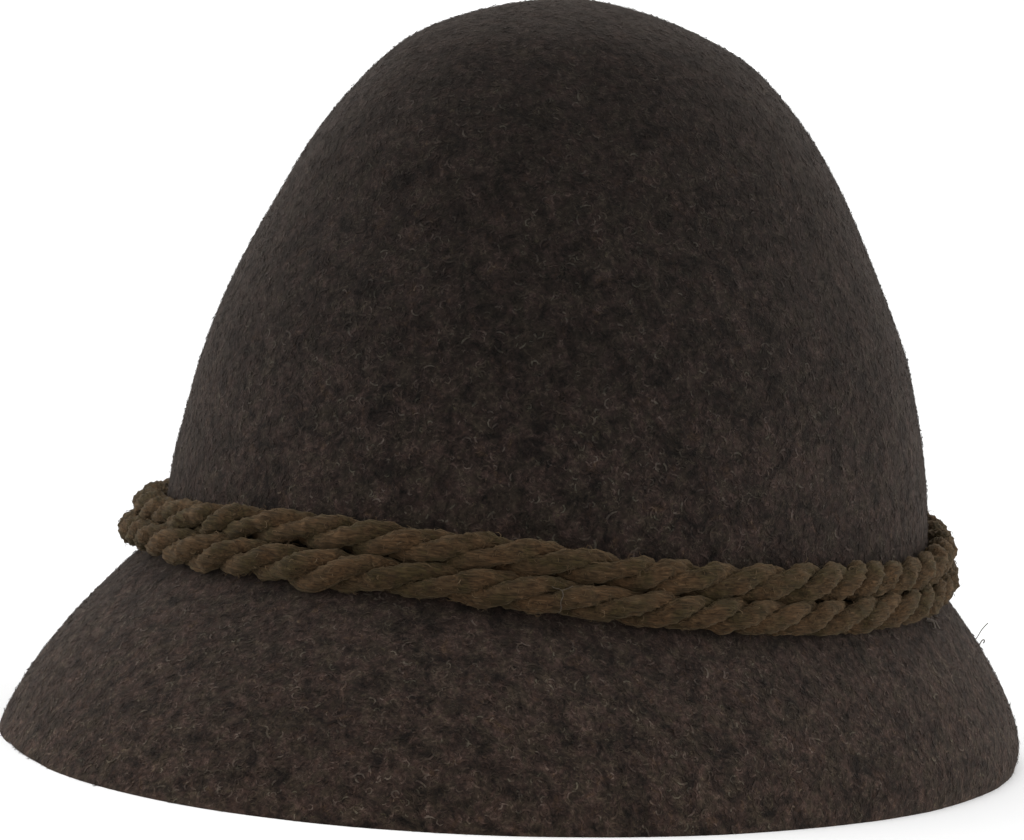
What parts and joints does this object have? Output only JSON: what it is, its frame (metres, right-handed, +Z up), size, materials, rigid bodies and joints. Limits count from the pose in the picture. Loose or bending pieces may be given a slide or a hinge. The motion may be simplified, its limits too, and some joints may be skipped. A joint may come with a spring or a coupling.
{
  "type": "tyrolean hat",
  "caption": "Tall-crowned felt hat with a down-sloping brim and twisted cords laid round the foot of its crown, standing on its brim.",
  "frame": {"origin": "on the surface that the brim's cut edge lies on, under the middle of the hat's outline", "axes": "+Z up through the crown, -Y to the front of the hat, +X to the wearer's left"},
  "size_m": [0.2212, 0.2808, 0.173],
  "materials": {
    "felt_brown": "matte wool felt, dark brown melange with light beige fibres",
    "cord_olive": "matte twisted wool cord, olive brown"
  },
  "bodies": {
    "root": {"hat_body": "felt_brown", "cord_lower": "cord_olive", "cord_upper": "cord_olive"}
  },
  "joints": []
}
